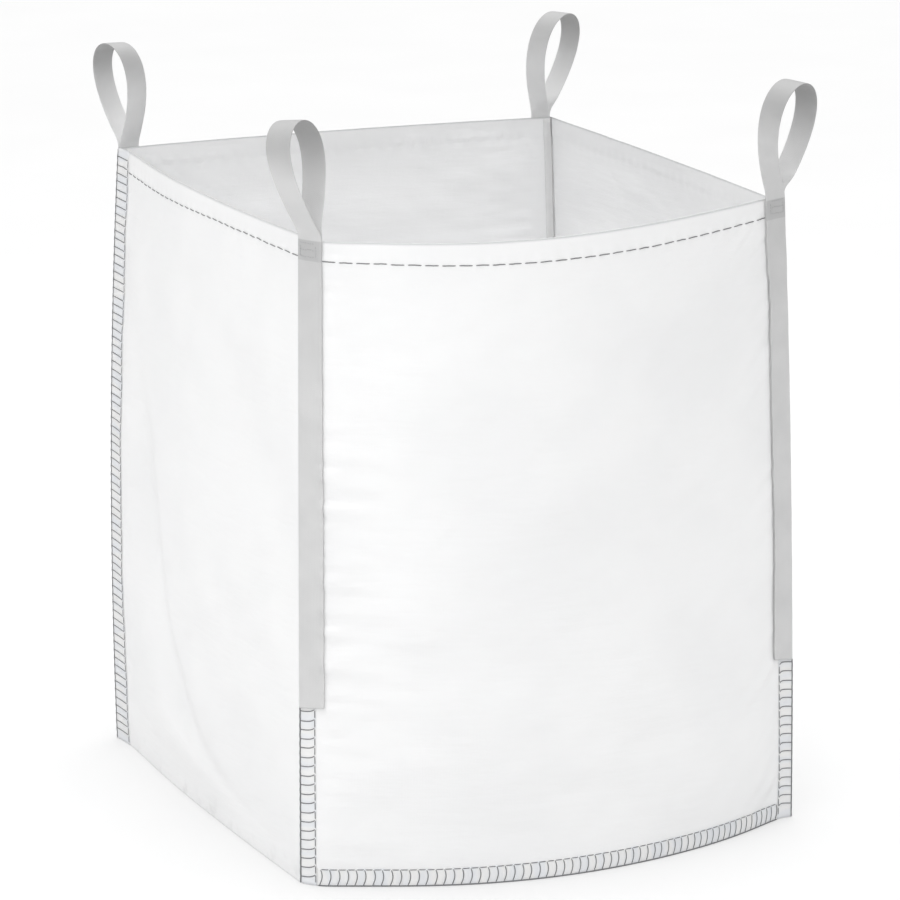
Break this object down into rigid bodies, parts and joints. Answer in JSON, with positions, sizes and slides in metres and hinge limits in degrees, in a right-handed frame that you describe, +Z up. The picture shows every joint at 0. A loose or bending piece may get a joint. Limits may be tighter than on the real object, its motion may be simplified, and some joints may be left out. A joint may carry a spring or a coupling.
{
  "type": "bulk bag",
  "caption": "Open-top bulk bag of coated woven fabric: square base, bowed walls, bound and overlocked seams, hemmed rim and a webbing lifting loop at each corner.",
  "frame": {"origin": "middle of the square base, on the floor", "axes": "+Z up through the open mouth; -Y out of the front panel, the one that stands out most; +X to the right as the front panel is faced"},
  "size_m": [1.0233, 1.0973, 1.2912],
  "materials": {
    "bag_fabric": "white coated woven polypropylene, slightly glossy, fine tape weave",
    "binding": "white folded seam binding",
    "webbing": "mid-grey woven polypropylene webbing, matt",
    "seam_thread": "grey polyester overlock thread",
    "hem_thread": "grey polyester sewing thread",
    "webbing_thread": "grey polyester sewing thread",
    "seam_tape": "grey woven seam tape"
  },
  "bodies": {
    "bag": {"back_bottom_binding": "binding", "back_bottom_overlock": "seam_thread", "back_hem_stitching": "hem_thread", "back_left_binding": "binding", "back_left_box_stitch": "webbing_thread", "back_left_inner_tape": "seam_tape", "back_left_overlock": "seam_thread", "back_left_webbing_inner_leg": "webbing", "back_left_webbing_outer_leg": "webbing", "back_panel": "bag_fabric", "back_right_binding": "binding", "back_right_box_stitch": "webbing_thread", "back_right_inner_tape": "seam_tape", "back_right_overlock": "seam_thread", "back_right_webbing_inner_leg": "webbing", "back_right_webbing_outer_leg": "webbing", "front_bottom_binding": "binding", "front_bottom_overlock": "seam_thread", "front_hem_stitching": "hem_thread", "front_left_binding": "binding", "front_left_box_stitch": "webbing_thread", "front_left_inner_tape": "seam_tape", "front_left_overlock": "seam_thread", "front_left_webbing_inner_leg": "webbing", "front_left_webbing_outer_leg": "webbing", "front_panel": "bag_fabric", "front_right_binding": "binding", "front_right_box_stitch": "webbing_thread", "front_right_inner_tape": "seam_tape", "front_right_overlock": "seam_thread", "front_right_webbing_inner_leg": "webbing", "front_right_webbing_outer_leg": "webbing", "left_hem_stitching": "hem_thread", "right_hem_stitching": "hem_thread", "u_panel": "bag_fabric"},
    "front_left_loop_eye": {"front_left_loop": "webbing"},
    "front_right_loop_eye": {"front_right_loop": "webbing"},
    "back_right_loop_eye": {"back_right_loop": "webbing"},
    "back_left_loop_eye": {"back_left_loop": "webbing"}
  },
  "joints": [
    {"name": "front_left_loop_bend", "type": "hinge", "parent": "bag", "child": "front_left_loop_eye", "pos_m": [-0.43214, -0.46412, 1.1092], "axis": [0.8697, -0.4935, 0], "range_deg": [-80, 105], "stiffness_Nm_per_rad": 0.12},
    {"name": "front_right_loop_bend", "type": "hinge", "parent": "bag", "child": "front_right_loop_eye", "pos_m": [0.43214, -0.46412, 1.1092], "axis": [0.8697, 0.4935, 0], "range_deg": [-80, 105], "stiffness_Nm_per_rad": 0.12},
    {"name": "back_right_loop_bend", "type": "hinge", "parent": "bag", "child": "back_right_loop_eye", "pos_m": [0.42764, 0.45339, 1.1092], "axis": [-0.9987, 0.0506, 0], "range_deg": [-80, 105], "stiffness_Nm_per_rad": 0.12},
    {"name": "back_left_loop_bend", "type": "hinge", "parent": "bag", "child": "back_left_loop_eye", "pos_m": [-0.42764, 0.45339, 1.1092], "axis": [-0.9987, -0.0506, 0], "range_deg": [-80, 105], "stiffness_Nm_per_rad": 0.12}
  ]
}
